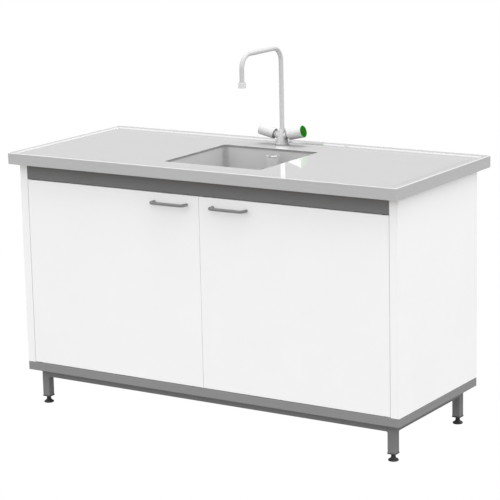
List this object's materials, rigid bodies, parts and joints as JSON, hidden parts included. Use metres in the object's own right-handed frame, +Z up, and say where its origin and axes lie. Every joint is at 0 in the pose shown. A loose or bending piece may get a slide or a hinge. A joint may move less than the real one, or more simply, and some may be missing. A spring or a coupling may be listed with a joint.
{
  "type": "laboratory sink unit",
  "caption": "Laboratory sink unit: two-door cabinet on a steel leg frame, stainless tray worktop, sunk bowl with standpipe, and a swivel-spout mixer tap.",
  "frame": {"origin": "on the floor, under the centre of the worktop", "axes": "+X along the worktop to the right as seen from the front, +Y to the back, +Z up; the doors face -Y"},
  "size_m": [1.5, 0.65, 1.235],
  "materials": {
    "worktop_steel": "glossy, finely polished stainless steel",
    "bowl_steel": "satin pressed stainless steel",
    "white_board": "white melamine-faced board, satin",
    "grey_board": "grey melamine-faced board, satin",
    "core_board": "raw particle board",
    "batten_wood": "planed softwood",
    "frame_steel": "grey powder coating",
    "hardware_steel": "zinc-plated steel",
    "handle_metal": "satin metal",
    "tap_coating": "brass casting with a satin grey finish",
    "pipe_coating": "steel tube with a satin grey finish",
    "copper": "copper tube",
    "green_plastic": "green indicator disc",
    "black_plastic": "black nylon",
    "cap_plastic": "dark grey polyethylene",
    "black_steel": "black-finished steel",
    "white_plastic": "white polypropylene",
    "dark_rubber": "soft black rubber"
  },
  "bodies": {
    "cabinet": {"frame_rail_front": "frame_steel", "frame_rail_rear": "frame_steel", "frame_crossbars": "frame_steel", "frame_legs": "frame_steel", "leg_end_caps": "cap_plastic", "base_board": "grey_board", "apron": "grey_board", "side_panel_left": "white_board", "side_panel_right": "white_board", "rear_rail": "white_board", "back_panel": "white_board", "worktop_skin": "worktop_steel", "worktop_core": "core_board", "rim_strips": "batten_wood", "bowl_battens": "batten_wood", "worktop_brackets": "hardware_steel", "tap_nut": "hardware_steel", "tap_shank": "hardware_steel", "tail_unions": "hardware_steel", "upper_pivots": "black_steel", "lower_pivots": "black_steel", "bowl": "bowl_steel", "waste_body": "bowl_steel", "bowl_seal": "dark_rubber", "waste_gasket": "dark_rubber", "tap_gasket": "dark_rubber", "waste_nut": "white_plastic", "trap_dip_pipe": "white_plastic", "trap_body": "white_plastic", "trap_cup": "white_plastic", "trap_outlet_pipe": "white_plastic", "trap_nuts": "white_plastic", "magnetic_catches": "white_plastic", "tap_body": "tap_coating", "valve_bonnets": "tap_coating", "supply_tails": "copper"},
    "door_left": {"door_left": "white_board", "pivot_bushes_left": "white_plastic", "strike_plate_left": "hardware_steel", "handle_left": "handle_metal"},
    "door_right": {"door_right": "white_board", "pivot_bushes_right": "white_plastic", "strike_plate_right": "hardware_steel", "handle_right": "handle_metal"},
    "spout": {"spout": "pipe_coating", "nozzle": "tap_coating", "aerator": "bowl_steel"},
    "knob_cold": {"knob_cold": "tap_coating", "spindle_cold": "hardware_steel", "disc_cold": "green_plastic"},
    "knob_hot": {"knob_hot": "tap_coating", "spindle_hot": "hardware_steel", "disc_hot": "green_plastic"},
    "standpipe": {"standpipe": "bowl_steel"},
    "foot_front_left": {"foot_front_left": "black_plastic"},
    "foot_front_right": {"foot_front_right": "black_plastic"},
    "foot_rear_left": {"foot_rear_left": "black_plastic"},
    "foot_rear_right": {"foot_rear_right": "black_plastic"}
  },
  "joints": [
    {"name": "door_left_hinge", "type": "hinge", "parent": "cabinet", "child": "door_left", "pos_m": [-0.681, -0.276, 0.4766], "axis": [0, 0, -1], "range_deg": [0, 135]},
    {"name": "door_right_hinge", "type": "hinge", "parent": "cabinet", "child": "door_right", "pos_m": [0.681, -0.276, 0.4766], "axis": [0, 0, 1], "range_deg": [0, 135]},
    {"name": "spout_swivel", "type": "hinge", "parent": "cabinet", "child": "spout", "pos_m": [0, 0.2415, 0.935], "axis": [0, 0, 1], "continuous": true},
    {"name": "cold_valve_turn", "type": "hinge", "parent": "cabinet", "child": "knob_cold", "pos_m": [0, 0.2415, 0.919], "axis": [-0.9659, 0, 0.2588], "range_deg": [0, 180]},
    {"name": "hot_valve_turn", "type": "hinge", "parent": "cabinet", "child": "knob_hot", "pos_m": [0, 0.2415, 0.919], "axis": [0.9659, 0, 0.2588], "range_deg": [0, 180]},
    {"name": "standpipe_lift", "type": "slide", "parent": "cabinet", "child": "standpipe", "axis": [0, 0, 1], "range_m": [0, 0.25]},
    {"name": "foot_front_left_screw", "type": "slide", "parent": "cabinet", "child": "foot_front_left", "axis": [0, 0, -1], "range_m": [0, 0.025]},
    {"name": "foot_front_right_screw", "type": "slide", "parent": "cabinet", "child": "foot_front_right", "axis": [0, 0, -1], "range_m": [0, 0.025]},
    {"name": "foot_rear_left_screw", "type": "slide", "parent": "cabinet", "child": "foot_rear_left", "axis": [0, 0, -1], "range_m": [0, 0.025]},
    {"name": "foot_rear_right_screw", "type": "slide", "parent": "cabinet", "child": "foot_rear_right", "axis": [0, 0, -1], "range_m": [0, 0.025]}
  ]
}
